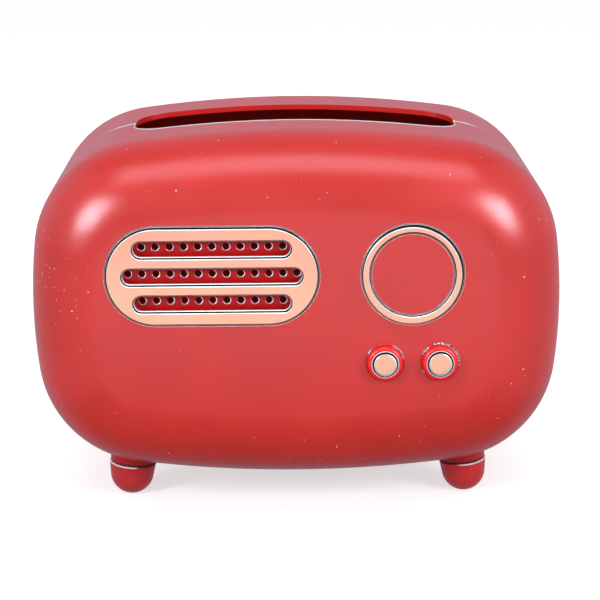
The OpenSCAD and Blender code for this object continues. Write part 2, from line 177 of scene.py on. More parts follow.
class TrimLook(bpy.types.PropertyGroup):
    """Finish and edge sizes of the trim and the fixings."""

    rose: tint("Rose gold", "Satin face of the trim, at its upper end", (0.92, 0.39, 0.255))
    rose_warm: tint("Warm rose gold", "The same at its lower end", (0.95, 0.5, 0.315))
    # painted highlight: the silver of the bright facets, the bevels, the hole rims and the line round each
    # knob's recess
    silver: tint("Silver highlight", "Bright facets along the edges", (0.86, 0.9, 0.9))
    # painted highlight: the bright arcs on the knob collars, mottled with the shadow colour
    collar_glint: tint("Collar highlight", "Where the collar round a knob is bright with painted highlight", (0.9, 0.93, 0.93))
    # painted shadow: the colour of the dark facets between the bright ones
    shadow: tint("Shadow", "Shadow facet between two bright ones", (0.006, 0.01, 0.01))
    steel: tint("Steel", "Zinc plate of the screws and washers", (0.62, 0.63, 0.62))
    steel_dull: tint("Dull steel", "The same where it is duller", (0.5, 0.5, 0.48))
    roughness: share("Roughness", "Satin of the face", 0.38)
    outer_facet: length("Outer facet", "Width of the facet at the outside", 0.0002)
    shadow_width: length("Shadow facet", "Usual width of a shadow facet", 0.00038)
    inner_facet: length("Inner facet", "Width of the bright facet next to the face", 0.0002)
    # the painted shadow is wider at the top
    lean: length("Lean", "How much wider the dark facets are at the top than in the middle", 0.0002)
    edge_drop: length("Edge drop", "How far the facets fall below the face", 0.0008)


class GrilleSizes(bpy.types.PropertyGroup):
    """Sizes of the grille plate and of the holes behind it."""

    short_slot: length("Short slot", "Length of the top and bottom slots", 0.0554)
    long_slot: length("Long slot", "Length of the middle slot", 0.0634)
    slot_height: length("Slot height", "Height of each slot", 0.0055)
    slot_pitch: length("Slot pitch", "From one slot to the next", 0.0098)
    thickness: length("Thickness", "Thickness of the plate", 0.0018)
    proud: length("Proud", "How far the trim stands out of the front", 0.0005)
    peg_diameter: length("Peg diameter", "Pegs behind the plate", 0.0025)
    peg_x: length("Peg right", "Pegs, right and left of the plate's middle", 0.0185)
    peg_z: length("Peg up", "Pegs, above and below the plate's middle", 0.015225)
    peg_length: length("Peg length", "Length of the pegs", 0.0052)
    channel_depth: length("Channel depth", "Floor of the sound channels below the front", 0.0045)
    hole_diameter: length("Hole diameter", "Holes in the sound channels", 0.0027)
    hole_pitch: length("Hole pitch", "From one hole to the next", 0.005)
    # painted highlight: the silver rim at the mouth of each hole
    rim_thickness: length("Rim thickness", "Bright rim at the mouth of each hole", 0.00012)
    short_holes: count("Short row", "Holes in the top and bottom rows", 11)
    long_holes: count("Long row", "Holes in the middle row", 13)


class RoundSizes(bpy.types.PropertyGroup):
    """Sizes of the dial ring and of the knob caps."""

    ring_outer: length("Ring outside", "Outside radius of the dial ring", 0.0182)
    ring_inner: length("Ring inside", "Inside radius of the dial ring", 0.0148)
    ring_pegs: count("Ring pegs", "Pegs behind the ring", 3)
    ring_peg_diameter: length("Ring peg diameter", "Pegs behind the ring", 0.0016)
    ring_peg_length: length("Ring peg length", "Length of those pegs", 0.002)
    cap_radius: length("Cap radius", "Outside radius of a knob's cap", 0.0041)
    cap_face: length("Cap face", "Radius of the flat face of a cap", 0.0037)
    # the painted shadow round a cap is thicker at the top
    cap_lean: length("Cap lean", "How much thicker the dark line round the cap is at the top", 0.00026)
    # painted highlight: the bright line round a knob's recess and the cap's bright bevel
    bezel_width: length("Bezel width", "Bright line round a knob's recess", 0.0003)
    cap_edge: length("Cap edge", "Height of the cap's bright bevel", 0.00026)
    knob_radius: length("Knob radius", "Outside radius of a knob", 0.0066)
    knob_bore: length("Knob bore", "Radius of the recess that holds the cap", 0.00465)
    collar_width: length("Collar width", "Thin ring round the foot of a knob", 0.0005)
    collar_height: length("Collar height", "How far that ring stands out", 0.0009)


class FootSizes(bpy.types.PropertyGroup):
    """Where the feet meet the case, for the painted highlight at the rim and the painted shade on the neck
    above it.
    """

    across: length("Across", "Middle of a foot's rim, aside from the middle of the case", 0.0625)
    along: length("Along", "Middle of a foot's rim, before or behind the parting line", 0.0295)
    rim_height: length("Rim height", "Middle of the rim above the floor", 0.01218)
    rim_radius: length("Rim radius", "Outside radius of the rim", 0.0088)
    # the painted highlight at the rim is this high
    rim_line: length("Rim line", "Height of the bright line at the rim", 0.00034)
    tilt: angle("Tilt", "Outward tilt of a foot", 5)


class StageSizes(bpy.types.PropertyGroup):
    """Camera and light."""

    azimuth: angle("Azimuth", "Camera's turn round the box", -0.328)
    elevation: angle("Elevation", "Camera's height above level", 14.629)
    roll: angle("Roll", "Camera's tilt", -0.448)
    distance: length("Distance", "From the camera to the box", 0.757213)
    lens: FloatProperty(name="Lens", description="Focal length", default=117.26, unit="CAMERA")
    look_x: length("Look right", "Point looked at, right of the middle", 0.0015)
    look_up: length("Look up", "Point looked at, above the case's middle", -0.009595)
    sky: share("Sky", "Plain light from all round", 0.48)
    mirrored_sky: share("Mirrored sky", "The same, as gloss shows it", 0.13)
    backdrop: share("Backdrop", "Brightness behind the box, as gloss shows it", 0.6)
    sides: share("Sides", "Brightness beside the box, as gloss shows it", 0.85)
    front_fill: power("Front fill", "The broad lamp in front", 2.7)
    top_fill: power("Top fill", "The lamp overhead", 3.4)
    back_fill: power("Back fill", "The broad lamp behind", 1.7)
    side_fill: power("Side fill", "Each lamp beside the camera", 5.3)
    top_box: power("Top box", "The overhead box that gloss shows", 4.5)
    side_box: power("Side box", "Each side box that gloss shows", 7.9)


GROUPS = {
    CaseSizes: "case_sizes",
    MouldingLook: "moulding_look",
    TrimLook: "trim_look",
    GrilleSizes: "grille_sizes",
    RoundSizes: "round_sizes",
    FootSizes: "foot_sizes",
    StageSizes: "stage_sizes",
}


# ---- node helpers

# sockets of the shared effects that hold a vector; all others hold a number
VECTORS = ("Place", "Swarm", "Normal")
# each finish by its name, as new_material makes it
FINISHES = {}


class Nodes:
    """Adds nodes to one tree; each value is a plain value or another node's socket."""

    def __init__(self, tree):
        self.tree = tree

    def feed(self, socket, value):
        """Links or sets one input; a plain colour is given without its alpha."""
        if isinstance(value, bpy.types.NodeSocket):
            self.tree.links.new(value, socket)
        else:
            socket.default_value = (*value, 1) if socket.type == "RGBA" else value

    def add(self, kind, inputs=None, **settings):
        """A node; inputs maps the names or numbers of its inputs to their values."""
        node = self.tree.nodes.new(kind)
        for name, setting in settings.items():
            setattr(node, name, setting)
        for key, value in (inputs or {}).items():
            self.feed(node.inputs[key], value)
        return node

    def maths(self, operation, *values):
        return self.add("ShaderNodeMath", dict(enumerate(values)), operation=operation).outputs[0]

    plus = partialmethod(maths, "ADD")
    minus = partialmethod(maths, "SUBTRACT")
    times = partialmethod(maths, "MULTIPLY")
    over = partialmethod(maths, "DIVIDE")
    larger = partialmethod(maths, "MAXIMUM")
    smaller = partialmethod(maths, "MINIMUM")
    above = partialmethod(maths, "GREATER_THAN")
    below = partialmethod(maths, "LESS_THAN")
    size = partialmethod(maths, "ABSOLUTE")

    def hypotenuse(self, first, second):
        return self.maths("SQRT", self.plus(self.times(first, first), self.times(second, second)))

    def ramp(self, value, low, high, out_low=0.0, out_high=1.0):
        """A smooth step, from out_low where the value is low to out_high where it is high."""
        ends = {"Value": value, "From Min": low, "From Max": high, "To Min": out_low, "To Max": out_high}
        return self.add("ShaderNodeMapRange", ends, interpolation_type="SMOOTHSTEP").outputs["Result"]

    def mix(self, factor, first, second):
        """The first colour where the factor is 0 and the second where it is 1."""
        node = self.add("ShaderNodeMix", {0: factor}, data_type="RGBA")
        for socket, colour in zip((s for s in node.inputs if s.type == "RGBA"), (first, second)):
            self.feed(socket, colour)
        return next(s for s in node.outputs if s.type == "RGBA")

    def axes(self, place):
        """The X, Y and Z of a vector."""
        return self.add("ShaderNodeSeparateXYZ", {0: place}).outputs

    def effect(self, group, place, **values):
        """The outputs of a shared effect, placed with these values."""
        named = {label.replace("_", " "): value for label, value in values.items()}
        return self.add("ShaderNodeGroup", {"Place": place, **named}, node_tree=group).outputs


def new_group(name, inputs, outputs):
    """An empty shader group: its nodes, the values that it is given and those that it makes."""
    group = bpy.data.node_groups.new(name, "ShaderNodeTree")
    for side, labels in (("INPUT", inputs), ("OUTPUT", outputs)):
        for label in labels:
            kind = "NodeSocketVector" if label in VECTORS else "NodeSocketFloat"
            group.interface.new_socket(name=label, in_out=side, socket_type=kind)
    n = Nodes(group)
    return n, n.add("NodeGroupInput").outputs, n.add("NodeGroupOutput").inputs


def new_material(name):
    """A finish: its nodes, the inputs of its Principled shader and the object's own coordinates."""
    material = bpy.data.materials.new(name)
    material.use_nodes = True
    material.node_tree.nodes.clear()
    FINISHES[name] = material
    n = Nodes(material.node_tree)
    shader = n.add("ShaderNodeBsdfPrincipled")
    n.add("ShaderNodeOutputMaterial", {0: shader.outputs[0]})
    return n, shader.inputs, n.add("ShaderNodeTexCoord").outputs["Object"]


def finish_of(name):
    """A finish that has been made."""
    if name not in FINISHES:
        raise RuntimeError("make the finishes first: " + name)
    return FINISHES[name]


def scaled(colour, factor):
    """A colour made lighter or darker."""
    return tuple(min(c * factor, 1) for c in colour)


# ---- shared effects


def dust_flecks():
    """Small pale specks, with a swarm of closer ones round one spot."""
    n, given, made = new_group(
        "dust flecks", ("Place", "Gap", "Radius", "Share", "Swarm", "Swarm radius"), ("Flecks",)
    )
    place = given["Place"]
    ripple = n.add("ShaderNodeTexNoise", {"Vector": place, "Scale": 2600, "Detail": 1})
    ragged = n.ramp(ripple.outputs[0], 0.3, 0.7, 0.6, 1.4)

    def specks(gap, share_of_cells):
        """One speck in each chosen cell, of uneven size and outline."""
        per_metre = n.over(1.0, gap)
        cells = n.add("ShaderNodeTexVoronoi", {"Vector": place, "Scale": per_metre}).outputs
        draw = n.add("ShaderNodeSeparateColor", {0: cells["Color"]}).outputs
        size = n.times(given["Radius"], per_metre)
        size = n.times(size, n.ramp(draw[1], 0.0, 1.0, 0.45, 1.35))
        size = n.times(size, ragged)
        near = n.ramp(cells["Distance"], n.times(size, 0.6), size, 1.0, 0.0)
        return n.times(near, n.below(draw[0], share_of_cells))

    coarse = specks(given["Gap"], given["Share"])
    away = n.add("ShaderNodeVectorMath", {0: place, 1: given["Swarm"]}, operation="DISTANCE").outputs["Value"]
    crowded = n.ramp(away, n.times(given["Swarm radius"], 0.3), given["Swarm radius"], 0.55, 0.0)
    fine = specks(n.times(given["Gap"], 0.4), crowded)
    n.feed(made["Flecks"], n.larger(coarse, fine))
    return n.tree


def edge_highlight():
    """Where a surface turns over an edge, for the painted highlight there, and the normal that rounds the edge
    off.
    """
    n, given, made = new_group("edge highlight", ("Place", "Width", "Reach"), ("Edge", "Normal"))
    rounded = n.add("ShaderNodeBevel", {"Radius": given["Width"]}, samples=6).outputs[0]
    surface = n.add("ShaderNodeNewGeometry").outputs["Normal"]
    aligned = n.add("ShaderNodeVectorMath", {0: rounded, 1: surface}, operation="DOT_PRODUCT")
    turned = n.ramp(aligned.outputs["Value"], 0.93, 0.985, 1.0, 0.0)
    x, _, _ = n.axes(given["Place"])
    shown = n.ramp(n.size(x), n.times(given["Reach"], 0.8), given["Reach"], 1.0, 0.0)
    n.feed(made["Edge"], n.times(turned, shown))
    n.feed(made["Normal"], rounded)
    return n.tree


def slot_lines():
    """Painted highlight and shade lines where the slot and the parting line meet, and the slot's cut wall,
    painted lighter.
    """
    n, given, made = new_group(
        "slot lines",
        ("Place", "Half length", "Half width", "Corner", "Band", "Seam"),
        ("Pale", "Dark", "Wall", "Quiet", "Channel"),
    )
    x, y, z = n.axes(given["Place"])
    corner = given["Corner"]
    back = n.minus(y, SEAM_Y)
    on_top = n.above(z, TOP_Z)
    past_end = n.minus(n.size(x), given["Half length"])
    past_x = n.plus(past_end, corner)

    def beyond_slot(shift):
        """Distance outside the slot's outline, moved forward by the shift."""
        past_y = n.plus(n.minus(n.size(n.plus(back, shift)), given["Half width"]), corner)
        outside = n.hypotenuse(n.larger(past_x, 0.0), n.larger(past_y, 0.0))
        inside = n.smaller(n.larger(past_x, past_y), 0.0)
        return n.minus(n.plus(outside, inside), corner)

    reach = beyond_slot(0.0)
    # painted highlight along the slot's front edge: a hairline and a wider band
    hairline = n.ramp(reach, 0.00028, 0.00042, 1.0, 0.0)
    front_band = n.ramp(beyond_slot(given["Band"]), -0.0001, 0.0001, 1.0, 0.0)
    rear_half = n.above(back, 0.0004)
    rim = n.times(n.above(reach, 0.00005), n.larger(hairline, front_band))
    rim = n.times(rim, n.minus(1.0, rear_half))
    fading = n.ramp(past_end, n.times(given["Seam"], 0.4), given["Seam"], 1.0, 0.0)
    along = n.times(n.above(past_end, 0.0), fading)

    def parting_line(middle):
        """A painted line beside the parting line, past the ends of the slot."""
        return n.times(along, n.ramp(n.size(n.minus(back, middle)), 0.0006, 0.0008, 1.0, 0.0))

    # painted highlight: the slot's front edge and a line behind the parting line
    pale = n.larger(rim, parting_line(PARTING_OFFSET))
    # painted shade: a dark line in front of the parting line
    dark = parting_line(-PARTING_OFFSET)
    # the slot's cut wall, which gets painted light
    wall = n.below(n.size(reach), 2 * HAIR)
    for label, value in (("Pale", pale), ("Dark", dark), ("Wall", wall)):
        n.feed(made[label], n.times(value, on_top))
    # the recess behind the grille plate, where the channels get painted shade
    deep = n.times(n.above(y, RECESS_FRONT), n.below(y, RECESS_BACK))
    across = n.below(n.size(n.minus(x, PLATE_MIDDLE.x)), PLATE_HALF.x)
    upward = n.below(n.size(n.minus(z, PLATE_MIDDLE.z)), PLATE_HALF.z)
    n.feed(made["Channel"], n.times(n.times(across, upward), deep))
    n.feed(made["Quiet"], n.larger(deep, n.times(on_top, rear_half)))
    return n.tree


def foot_seats():
    """The painted shade on the neck above each foot, the painted shadow in the gap at its end and the painted
    highlight on the rim below.
    """
    n, given, made = new_group(
        "foot seats",
        ("Place", "Across", "Along", "Rim height", "Rim radius", "Rim line", "Slope"),
        ("Neck", "Gap", "Rim"),
    )
    x, y, z = n.axes(given["Place"])
    aside = n.minus(n.size(x), given["Across"])
    back = n.minus(n.size(n.minus(y, SEAM_Y)), given["Along"])
    rim = n.plus(given["Rim height"], n.times(aside, given["Slope"]))
    height = n.minus(z, rim)
    inside = n.below(n.hypotenuse(aside, back), given["Rim radius"])
    # the neck above the rim, which gets painted shade
    neck = n.times(inside, n.below(height, 0.012))
    off_line = n.size(n.plus(height, n.times(given["Rim line"], 0.4)))
    line = n.below(off_line, n.times(given["Rim line"], 0.5))
    n.feed(made["Neck"], neck)
    # painted shadow in the gap just above a foot's rim
    n.feed(made["Gap"], n.times(neck, n.ramp(height, 0.0002, 0.0016, 1.0, 0.0)))
    # painted highlight: a bright line at the rim, towards the outer side
    n.feed(made["Rim"], n.times(line, n.ramp(aside, -0.003, -0.0005, 0.0, 1.0)))
    return n.tree


def fine_grain():
    """Faint mottling and a fine bump, as on moulded or blasted surfaces."""
    n, given, made = new_group(
        "fine grain", ("Place", "Patches", "Grains", "Strength", "Normal"), ("Mottle", "Grain", "Normal")
    )
    wide = n.add("ShaderNodeTexNoise", {"Vector": given["Place"], "Scale": given["Patches"], "Detail": 3})
    small = n.add("ShaderNodeTexNoise", {"Vector": given["Place"], "Scale": given["Grains"], "Detail": 4})
    relief = {
        "Strength": given["Strength"],
        "Distance": 0.00004,
        "Height": small.outputs[0],
        "Normal": given["Normal"],
    }
    bump = n.add("ShaderNodeBump", relief)
    for label, node in (("Mottle", wide), ("Grain", small), ("Normal", bump)):
        n.feed(made[label], node.outputs[0])
    return n.tree


# ---- materials


def moulding(name, colour, groups, edge_share=1.0, fleck_share=0.5, is_case=False, is_foot=False, gloss=0.5):
    """Red moulded plastic with painted highlights on its edges and dust flecks, and with the case's own
    painted light and shade or a foot's painted rim highlight.
    """
    scene = bpy.context.scene
    look, sizes, feet = scene.moulding_look, scene.case_sizes, scene.foot_sizes
    n, shader, place = new_material(name)
    edges = n.effect(groups["edge"], place, Width=look.edge_width, Reach=look.seam_reach)
    flecks = n.effect(
        groups["flecks"],
        place,
        Gap=look.fleck_gap,
        Radius=look.fleck_size,
        Share=fleck_share,
        Swarm=(CAD_LOW.x + 0.009, FRONT_Y + 0.01, PLATE_MIDDLE.z - 0.005),
        Swarm_radius=look.swarm if is_case else 0,
    )["Flecks"]
    grain = n.effect(groups["grain"], place, Patches=38, Grains=2400, Strength=0.25, Normal=edges["Normal"])
    shade = n.mix(n.ramp(grain["Mottle"], 0.35, 0.65), scaled(colour, 0.965), scaled(colour, 1.035))
    # pale is where the painted highlight goes, light is its colour
    pale, light = n.times(edges["Edge"], edge_share), look.edge_highlight
    if is_case or is_foot:
        rim = dict(Rim_height=feet.rim_height, Rim_radius=feet.rim_radius, Rim_line=feet.rim_line)
        spot = dict(Across=feet.across, Along=feet.along, Slope=math.tan(feet.tilt))
        seats = n.effect(groups["seats"], place, **rim, **spot)
    if is_foot:
        # a foot's pale line is the painted highlight at its rim
        pale, light = seats["Rim"], look.rim_highlight
    if is_case:
        halves = dict(Half_length=sizes.slot_length / 2, Half_width=sizes.slot_width / 2)
        widths = dict(Corner=sizes.slot_corner, Band=look.edge_band, Seam=sizes.seam_line)
        lines = n.effect(groups["slot"], place, **halves, **widths)
        for mask, tone in (
            # painted shade on the necks above the feet
            (seats["Neck"], look.shaded_red),
            # painted shadow in the gaps above the feet
            (seats["Gap"], look.gap_shadow),
            # painted shade in the channels
            (lines["Channel"], look.shaded_red),
            # painted light on the slot's wall
            (lines["Wall"], look.lit_wall_red),
            # painted shade beside the parting line
            (lines["Dark"], look.seam_shade),
        ):
            shade = n.mix(mask, shade, tone)
        quiet = n.larger(lines["Quiet"], seats["Neck"])
        pale = n.larger(n.times(pale, n.minus(1.0, quiet)), lines["Pale"])
    # the painted highlights, then the dust flecks, over the moulded colour
    n.feed(shader["Base Color"], n.mix(flecks, n.mix(pale, shade, light), look.fleck))
    rough = n.ramp(grain["Mottle"], 0.3, 0.7, look.roughness - 0.02, look.roughness + 0.02)
    n.feed(shader["Roughness"], n.plus(rough, n.times(flecks, 0.4)))
    n.feed(shader["Normal"], grain["Normal"])
    n.feed(shader["Specular IOR Level"], gloss)


def satin_metal(name, colour, other, groups, roughness=0.3, metallic=1.0, patches=38, is_falling=False):
    """Plated or bare metal with a faint blasted grain; falling tends to the other colour downwards."""
    n, shader, place = new_material(name)
    surface = n.add("ShaderNodeNewGeometry").outputs["Normal"]
    grain = n.effect(groups["grain"], place, Patches=patches, Grains=5200, Strength=0.12, Normal=surface)
    blend = n.ramp(grain["Mottle"], 0.35, 0.65)
    if is_falling:
        _, _, z = n.axes(place)
        fall = n.ramp(z, PLATE_LOW.z, PLATE_HIGH.z, 1.0, 0.0)
        blend = n.plus(n.times(blend, 0.25), n.times(fall, 0.75))
    n.feed(shader["Base Color"], n.mix(blend, colour, other))
    n.feed(shader["Roughness"], n.ramp(grain["Grain"], 0.3, 0.7, roughness - 0.03, roughness + 0.03))
    n.feed(shader["Normal"], grain["Normal"])
    n.feed(shader["Metallic"], metallic)


def shadow_finish(name, colour, groups):
    """Dull dark finish of the facet that parts two bright ones, a painted shadow."""
    n, shader, place = new_material(name)
    grain = n.effect(groups["grain"], place, Patches=38, Grains=5200, Strength=0.1)
    n.feed(shader["Base Color"], n.mix(grain["Grain"], scaled(colour, 0.7), scaled(colour, 1.3)))
    n.feed(shader["Roughness"], 0.7)
    n.feed(shader["Specular IOR Level"], 0.05)


def dress(finish, *names):
    """Gives CAD nodes a finish."""
    for name in names:
        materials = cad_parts[name].data.materials
        materials.clear()
        materials.append(finish_of(finish))


# ---- mesh helpers


def new_piece(name, bm, finishes, body, replaced=()):
    """Turns a bmesh into a piece that rides on a body."""
    bmesh.ops.recalc_face_normals(bm, faces=bm.faces)
    mesh = bpy.data.meshes.new(name)
    bm.to_mesh(mesh)
    bm.free()
    for finish in finishes:
        mesh.materials.append(finish_of(finish))
    piece = bpy.data.objects.new(name, mesh)
    bpy.context.collection.objects.link(piece)
    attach(piece, body)
    if replaced:
        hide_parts(*replaced)


def weld(bm):
    """Makes one vertex of those that lie together."""
    bmesh.ops.remove_doubles(bm, verts=bm.verts, dist=WELD)


def bar_loop(half_length, radius, x, z):
    """Points of a bar's outline with round ends, in X and Z, anticlockwise from the front."""
    straight = half_length - radius
    half_steps = ROUND_STEPS // 2
    points = []
    for end, start in ((1, -90), (-1, 90)):
        for step in range(half_steps + 1):
            turn = math.radians(start + 180 * step / half_steps)
            points.append((x + end * straight + radius * math.cos(turn), z + radius * math.sin(turn)))
    return points


def add_loop(bm, points, y):
    """Vertices at points in X and Z, all at one depth."""
    return [bm.verts.new((px, y, pz)) for px, pz in points]


def bridge(bm, first, second, index):
    """Smooth quads between two loops of the same count."""
    for i in range(len(first)):
        j = (i + 1) % len(first)
        face = bm.faces.new((first[i], first[j], second[j], second[i]))
        face.material_index = index
        face.smooth = True


def crease(loop):
    """Keeps the shading sharp along a loop of vertices."""
    ring = set(loop)
    for vert in loop:
        for edge in vert.link_edges:
            if edge.other_vert(vert) in ring:
                edge.smooth = False


def fill_between(bm, loops):
    """A flat face with holes, bounded by loops, in the first finish."""
    edges = [bm.edges.get((loop[i - 1], loop[i])) for loop in loops for i in range(len(loop))]
    bmesh.ops.triangle_fill(bm, use_beauty=True, use_dissolve=False, edges=edges)


def lathe(bm, profile, middle, index_of):
    """Turns (radius, y) points about the Y axis through middle; a radius of 0 closes the end.

    A third and fourth number move that ring right and up, for a line that is thicker at one side.
    """
    turns = [2 * math.pi * step / ROUND_STEPS for step in range(ROUND_STEPS)]
    loops = []
    for radius, y, *shift in profile:
        x, z = (middle.x + shift[0], middle.z + shift[1]) if shift else (middle.x, middle.z)
        points = [(x + radius * math.cos(turn), z + radius * math.sin(turn)) for turn in turns]
        loops.append(add_loop(bm, points if radius else [(x, z)], y))
    for index, first, second in zip(index_of, loops, loops[1:]):
        if len(first) == 1 or len(second) == 1:
            (tip,), ring = (first, second) if len(first) == 1 else (second, first)
            for i in range(len(ring)):
                face = bm.faces.new((ring[i], ring[(i + 1) % len(ring)], tip))
                face.material_index = index
        else:
            bridge(bm, first, second, index)
        for loop in (first, second):
            if len(loop) > 1:
                crease(loop)


def add_pegs(bm, places, diameter, y_front, y_back):
    """Round pegs behind a piece of trim."""
    side = ((diameter / 2, y_front), (diameter / 2, y_back - diameter / 8), (diameter * 0.38, y_back))
    for x, z in places:
        lathe(bm, ((0, y_front), *side, (0, y_back)), Vector((x, 0, z)), (0, 0, 0, 0))


def facet_steps(look, dark_share, face_y):
    """Inset and depth at each end of the three facets along an edge, from the outside in."""
    widths = (look.outer_facet, look.shadow_width * dark_share, look.inner_facet)
    steps = [(0.0, face_y + look.edge_drop)]
    reached = 0.0
    for width in widths:
        reached += width
        steps.append((reached, face_y + look.edge_drop * (1 - reached / sum(widths))))
    return steps


def towards(turn, rise):
    """The direction away from the box at a turn from its front and a rise above level."""
    return Vector((math.sin(turn) * math.cos(rise), -math.cos(turn) * math.cos(rise), math.sin(rise)))


# ---- operators

# finishes 0, 1 and 2 of the plate and the ring, and which of them each span of an edge has
TRIM_FINISHES = ("rose gold", "silver highlight", "shadow facet")
EDGE_SPANS = (0, 1, 2, 1)


class MakeStage(bpy.types.Operator):
    """Lays the floor, hangs the lamps and sets the camera"""

    bl_idname = "radio_box.make_stage"
    bl_label = "Make the stage"

    def execute(self, context):
        stage = context.scene.stage_sizes
        self.set_camera(context, stage)
        self.lay_floor(context)
        self.light_world(context, stage)
        self.hang_lamps(context, stage)
        context.scene.view_settings.view_transform = "Standard"
        return {"FINISHED"}

    def set_camera(self, context, stage):
        target = Vector((stage.look_x, SEAM_Y, CASE_Z + stage.look_up))
        back = towards(stage.azimuth, stage.elevation)
        right = Vector((math.cos(stage.azimuth), math.sin(stage.azimuth), 0))
        up = back.cross(right)
        x = right * math.cos(stage.roll) + up * math.sin(stage.roll)
        y = up * math.cos(stage.roll) - right * math.sin(stage.roll)
        turned = Matrix((x, y, back)).transposed().to_4x4()
        camera = bpy.data.objects.new("camera", bpy.data.cameras.new("camera"))
        context.collection.objects.link(camera)
        camera.matrix_world = Matrix.Translation(target + back * stage.distance) @ turned
        camera.data.lens = stage.lens
        camera.data.sensor_width = 36
        context.scene.camera = camera

    def lay_floor(self, context):
        """A pale floor, which gloss sees dark close before the box and brighter around it."""
        bpy.ops.mesh.primitive_plane_add(size=12)
        floor = context.object
        floor.name = "floor"
        n, shader, place = new_material("pale floor")
        rays = n.add("ShaderNodeLightPath").outputs
        seen = n.larger(rays["Is Camera Ray"], rays["Is Transmission Ray"])
        gloss = rays["Is Glossy Ray"]
        x, y, _ = n.axes(place)
        aside = n.size(x)
        ahead = n.times(n.ramp(aside, 0.16, 0.32, 1.6, 0.0), n.ramp(y, -0.34, -0.15, 1.0, 0.0))
        beside = n.ramp(aside, 0.1, 0.16, 0.0, 0.45)
        behind = n.ramp(y, -0.075, -0.03, 0.0, 0.36)
        shine = n.times(n.larger(ahead, n.larger(beside, behind)), gloss)
        shade = n.mix(gloss, (0.42, 0.42, 0.42), (0.1, 0.1, 0.11))
        n.feed(shader["Base Color"], n.mix(seen, shade, (0.72, 0.72, 0.72)))
        n.feed(shader["Emission Color"], n.mix(gloss, (1, 1, 1), (0.82, 0.97, 1.2)))
        n.feed(shader["Emission Strength"], n.plus(n.times(seen, 0.6), shine))
        n.feed(shader["Roughness"], 0.9)
        n.feed(shader["Specular IOR Level"], 0.1)
        floor.data.materials.append(finish_of("pale floor"))

    def light_world(self, context, stage):
        """Plain light all round, which the camera sees as white and gloss as a dim room."""
        world = bpy.data.worlds.new("world")
        context.scene.world = world
        world.use_nodes = True
        background = world.node_tree.nodes["Background"].inputs
        n = Nodes(world.node_tree)
        rays = n.add("ShaderNodeLightPath").outputs
        gloss = n.larger(rays["Is Glossy Ray"], rays["Is Transmission Ray"])
        x, y, _ = n.axes(n.add("ShaderNodeTexCoord").outputs["Generated"])
        mirrored = n.larger(
            n.ramp(y, 0.1, 0.8, stage.mirrored_sky, stage.backdrop),
            n.ramp(n.size(x), 0.35, 0.75, 0.0, stage.sides),
        )
        level = n.plus(n.times(gloss, n.minus(mirrored, stage.sky)), stage.sky)
        n.feed(background["Color"], n.mix(gloss, (1, 1, 1), (0.8, 0.9, 1.12)))
        n.feed(background["Strength"], n.larger(level, rays["Is Camera Ray"]))

    def hang_lamps(self, context, stage):
        """Fills that light only matt surfaces, and boxes that only gloss shows."""
        middle = Vector((0, SEAM_Y, CASE_Z))
        for name, watts, size, azimuth, elevation, distance, is_mirrored in (
            ("front fill", stage.front_fill, (1.1, 0.8), 0, 12, 1.3, False),
            ("top fill", stage.top_fill, (0.9, 0.24), 0, 75, 1.2, False),
            ("back fill", stage.back_fill, (0.8, 0.6), 180, 15, 1.3, False),
            ("left fill", stage.side_fill, (0.3, 0.3), -46, 23, 1.2, False),
            ("right fill", stage.side_fill, (0.3, 0.3), 46, 23, 1.2, False),
            ("top box", stage.top_box, (0.9, 0.4), 0, 72, 0.9, True),
            ("left box", stage.side_box, (0.35, 0.35), -46, 23, 0.9, True),
            ("right box", stage.side_box, (0.35, 0.35), 46, 23, 0.9, True),
        ):
            data = bpy.data.lights.new(name, "AREA")
            data.shape = "RECTANGLE"
            data.size, data.size_y = size
            data.energy = watts
            data.color = (0.78, 0.88, 1) if is_mirrored else (0.95, 0.97, 1)
            lamp = bpy.data.objects.new(name, data)
            lamp.visible_glossy = is_mirrored
            lamp.visible_diffuse = not is_mirrored
            context.collection.objects.link(lamp)
            away = towards(math.radians(azimuth), math.radians(elevation))
            turned = away.to_track_quat("Z", "Y").to_matrix().to_4x4()
            lamp.matrix_world = Matrix.Translation(middle + away * distance) @ turned


class MakeFinishes(bpy.types.Operator):
    """Builds the shared effects and every finish"""

    bl_idname = "radio_box.make_finishes"
    bl_label = "Make the finishes"

    def execute(self, context):
        look = context.scene.moulding_look
        trim = context.scene.trim_look
        groups = {
            "flecks": dust_flecks(),
            "edge": edge_highlight(),
            "grain": fine_grain(),
            "slot": slot_lines(),
            "seats": foot_seats(),
        }
        moulding("case red", look.red, groups, fleck_share=0.75, is_case=True)
        moulding("channel red", look.red, groups, fleck_share=0.75, is_case=True, gloss=look.channel_gloss)
        moulding("foot red", look.deep_red, groups, is_foot=True)
        # the knobs get a weaker painted edge highlight
        moulding("knob red", look.knob_red, groups, edge_share=0.35, fleck_share=0.0)
        satin_metal("rose gold", trim.rose, trim.rose_warm, groups, trim.roughness, 0.28, is_falling=True)
        satin_metal("silver highlight", trim.silver, scaled(trim.silver, 0.92), groups, metallic=0.65)
        # painted highlight for the knob collars, mottled with the shadow colour
        satin_metal("collar highlight", trim.collar_glint, trim.shadow, groups, metallic=0.65, patches=1500)
        shadow_finish("shadow facet", trim.shadow, groups)
        satin_metal("zinc steel", trim.steel, trim.steel_dull, groups)
        moulding("collar red", look.red, groups, edge_share=0.0, fleck_share=0.0)
        return {"FINISHED"}


